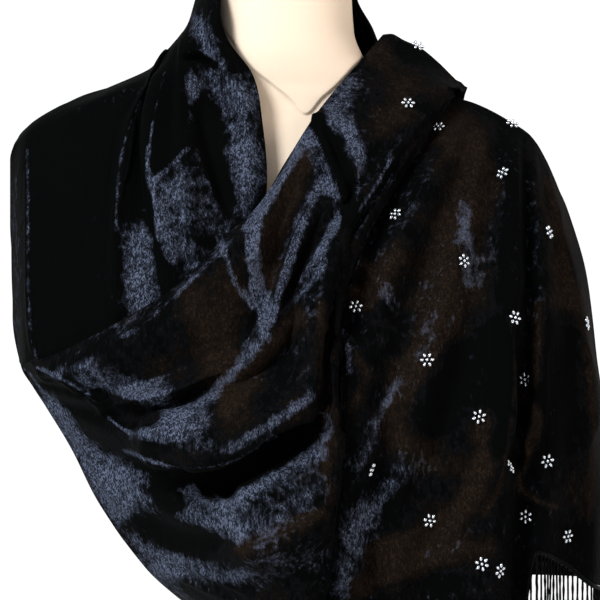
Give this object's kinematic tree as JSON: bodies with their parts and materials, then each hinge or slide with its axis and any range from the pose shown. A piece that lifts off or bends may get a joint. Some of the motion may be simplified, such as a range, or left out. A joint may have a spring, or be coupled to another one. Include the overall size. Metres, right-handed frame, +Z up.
{
  "type": "evening stole on a dress form",
  "caption": "Black velvet evening stole with fringed ends, wound round the shoulders of a limbless dress form on a round foot.",
  "frame": {"origin": "on the surface that the foot stands on, in the middle of the dressed form's box", "axes": "+Z up, the front of the form faces -Y, its right side is at -X"},
  "size_m": [0.4791, 0.3208, 0.75],
  "materials": {
    "jersey": "matt cream jersey cover with a fine rib",
    "stand_paint": "satin cream paint",
    "velvet": "black crushed velvet with a blue-grey sheen",
    "fringe_cord": "black twisted rayon cord"
  },
  "bodies": {
    "root": {"form_torso": "jersey", "stand_pole": "stand_paint", "stand_base": "stand_paint", "stole_right_shoulder": "velvet", "stole_left_front": "velvet", "stole_back": "velvet", "stole_cross_swath": "velvet", "stole_back_end": "velvet", "fringe_front": "fringe_cord", "fringe_back": "fringe_cord"}
  },
  "joints": []
}
